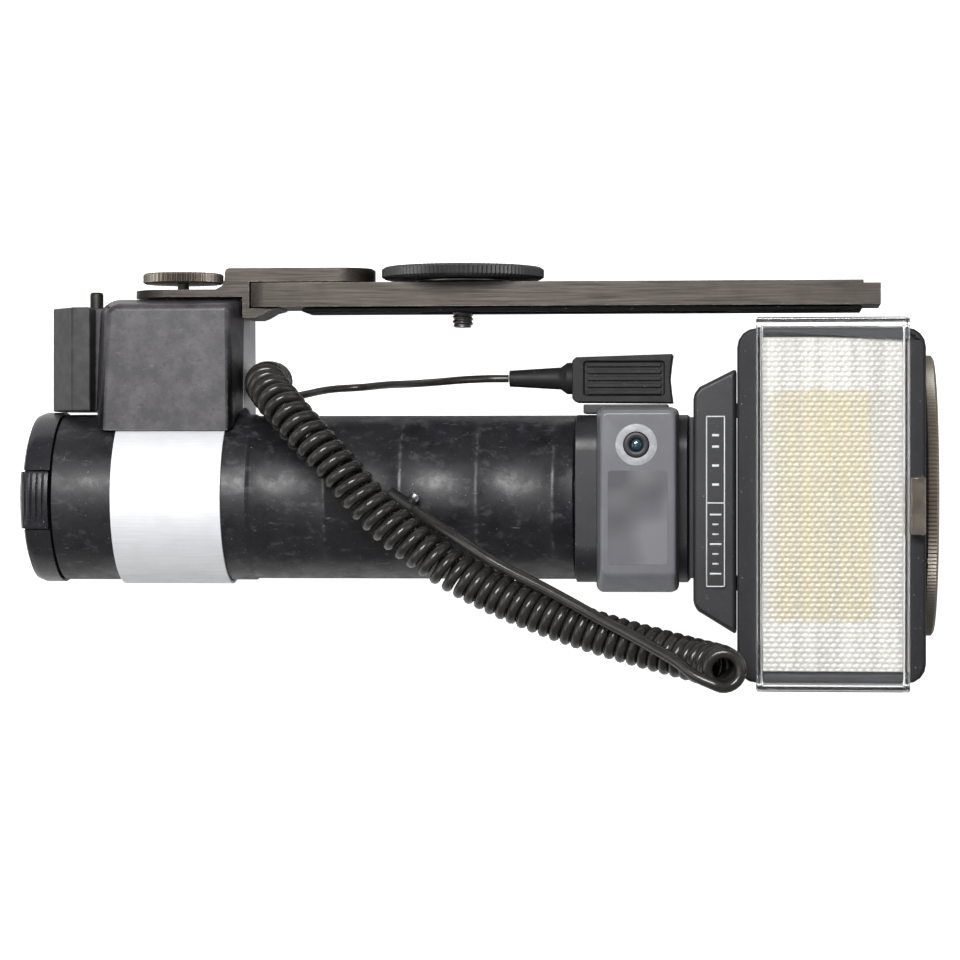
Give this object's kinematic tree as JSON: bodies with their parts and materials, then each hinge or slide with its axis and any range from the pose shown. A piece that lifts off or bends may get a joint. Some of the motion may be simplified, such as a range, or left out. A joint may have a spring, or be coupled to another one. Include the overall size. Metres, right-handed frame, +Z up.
{
  "type": "hammerhead flash gun",
  "caption": "Battery handle with a tilting flash head, clip-on diffuser, sensor unit, clamped camera bracket stowed along it, and a curly sync cord.",
  "frame": {"origin": "under the middle of the gun as it lies on its back, without the cord, on the surface", "axes": "+X towards the head, +Y towards the bracket, +Z up, the way the flash faces as it lies; the handle rises 5 degrees towards the head"},
  "size_m": [0.2508, 0.1128, 0.1012],
  "materials": {
    "grip": "satin black moulded plastic, worn on the finger ridges",
    "body_plastic": "fine satin black moulded plastic",
    "black_rubber": "matt black",
    "wheel_plastic": "black, knurled rim",
    "cord_jacket": "semi-gloss dark grey jacket",
    "clamp_black": "worn charcoal paint",
    "cast_silver": "satin cast",
    "band_aluminium": "brushed along the handle",
    "bronze_metal": "brushed grey-brown anodised",
    "steel": "dull bright steel",
    "clear_acrylic": "clear, slightly yellowed, scuffed",
    "smoky_acrylic": "smoky",
    "lens_acrylic": "pebbled lens pattern",
    "tube_glass": "clear tube, metal ends",
    "reflector_mirror": "bright",
    "frosted_window": "smoky translucent",
    "sensor_glass": "dark coated lens",
    "plaque": "printed plate",
    "brass": "plain",
    "board": "circuit board green",
    "cell_jacket": "printed cell jacket",
    "capacitor_sleeve": "shrink sleeve",
    "lamp_red": "clear red"
  },
  "bodies": {
    "root": {"grip_front_shell": "grip", "grip_rear_shell": "grip", "battery_basket": "body_plastic", "battery_1": "cell_jacket", "battery_2": "cell_jacket", "battery_3": "cell_jacket", "battery_4": "cell_jacket", "battery_5": "cell_jacket", "battery_6": "cell_jacket", "flash_capacitor": "capacitor_sleeve", "transformer": "brass", "inverter_board": "board", "module_housing": "body_plastic", "rear_panel": "body_plastic", "ready_lamp": "lamp_red", "neck_column": "body_plastic", "tilt_pin": "steel", "cover_hinge_pin": "steel", "strap_band": "band_aluminium", "clamp_cover": "clamp_black", "clamp_frame": "cast_silver", "clamp_screw": "steel", "latch_body": "clamp_black", "plug_socket": "black_rubber", "cord_plug": "black_rubber", "cord_lead": "cord_jacket", "cord_coil": "cord_jacket", "cord_tail": "cord_jacket", "sync_connector": "black_rubber"},
    "base_cover": {"base_cover": "body_plastic", "contact_plate": "brass"},
    "cover_latch": {"cover_latch": "black_rubber"},
    "bracket": {"bracket_foot": "bronze_metal", "foot_screw_1": "steel", "foot_screw_2": "steel", "bracket_rail": "bronze_metal", "rail_pad": "black_rubber"},
    "bracket_knob": {"bracket_knob": "bronze_metal"},
    "screw_carriage": {"screw_carriage": "steel"},
    "camera_screw": {"camera_wheel": "wheel_plastic", "camera_stud": "steel"},
    "release_pin": {"release_pin": "steel"},
    "head": {"head_front_frame": "body_plastic", "head_rear_shell": "body_plastic", "head_chin": "body_plastic", "name_plaque": "plaque", "window_lens": "lens_acrylic", "reflector": "reflector_mirror", "flash_tube": "tube_glass", "trigger_board": "board", "dial_scale": "plaque"},
    "dial": {"dial_ring": "bronze_metal"},
    "diffuser": {"diffuser": "clear_acrylic", "diffuser_catch": "smoky_acrylic"},
    "sensor_unit": {"sensor_base": "body_plastic", "sensor_cap": "frosted_window", "sensor_lens": "sensor_glass"},
    "mode_selector": {"mode_selector": "body_plastic"},
    "power_switch": {"power_switch": "steel"},
    "test_button": {"test_button": "steel"}
  },
  "joints": [
    {"name": "base_cover_hinge", "type": "hinge", "parent": "root", "child": "base_cover", "pos_m": [-0.11169, -0.00665, 0.00278], "axis": [0, -1, 0], "range_deg": [0, 90]},
    {"name": "cover_latch_slide", "type": "slide", "parent": "base_cover", "child": "cover_latch", "axis": [-0.9962, 0, -0.0872], "range_m": [0, 0.0018], "stiffness_N_per_m": 200},
    {"name": "bracket_lift", "type": "slide", "parent": "root", "child": "bracket", "axis": [0, 1, 0], "range_m": [0, 0.008]},
    {"name": "bracket_knob_turn", "type": "hinge", "parent": "bracket", "child": "bracket_knob", "pos_m": [-0.08266, 0.05335, 0.02661], "axis": [0, 1, 0], "continuous": true},
    {"name": "carriage_slide", "type": "slide", "parent": "bracket", "child": "screw_carriage", "axis": [0.9962, 0, 0.0872], "range_m": [0, 0.06]},
    {"name": "camera_screw_turn", "type": "hinge", "parent": "screw_carriage", "child": "camera_screw", "pos_m": [-0.00525, 0.05435, 0.03338], "axis": [0, 1, 0], "continuous": true},
    {"name": "release_pin_push", "type": "slide", "parent": "root", "child": "release_pin", "axis": [0, -1, 0], "range_m": [0, 0.0015], "stiffness_N_per_m": 300},
    {"name": "head_tilt", "type": "hinge", "parent": "root", "child": "head", "pos_m": [0.06692, -0.00665, 0.01962], "axis": [0, 1, 0], "range_deg": [0, 90]},
    {"name": "dial_turn", "type": "hinge", "parent": "head", "child": "dial", "pos_m": [0.12047, -0.00615, 0.04438], "axis": [0.9962, 0, 0.0872], "continuous": true},
    {"name": "diffuser_pull", "type": "slide", "parent": "head", "child": "diffuser", "axis": [-0.0872, 0, 0.9962], "range_m": [0, 0.012]},
    {"name": "sensor_unit_pull", "type": "slide", "parent": "root", "child": "sensor_unit", "axis": [-0.0872, 0, 0.9962], "range_m": [0, 0.01]},
    {"name": "mode_selector_turn", "type": "hinge", "parent": "root", "child": "mode_selector", "pos_m": [0.03864, -0.00815, 0.01012], "axis": [-0.0872, 0, 0.9962], "range_deg": [-135, 135]},
    {"name": "power_switch_slide", "type": "slide", "parent": "root", "child": "power_switch", "axis": [0, 1, 0], "range_m": [0, 0.0027]},
    {"name": "test_button_push", "type": "slide", "parent": "root", "child": "test_button", "axis": [-0.0872, 0, 0.9962], "range_m": [0, 0.0012], "stiffness_N_per_m": 300}
  ]
}
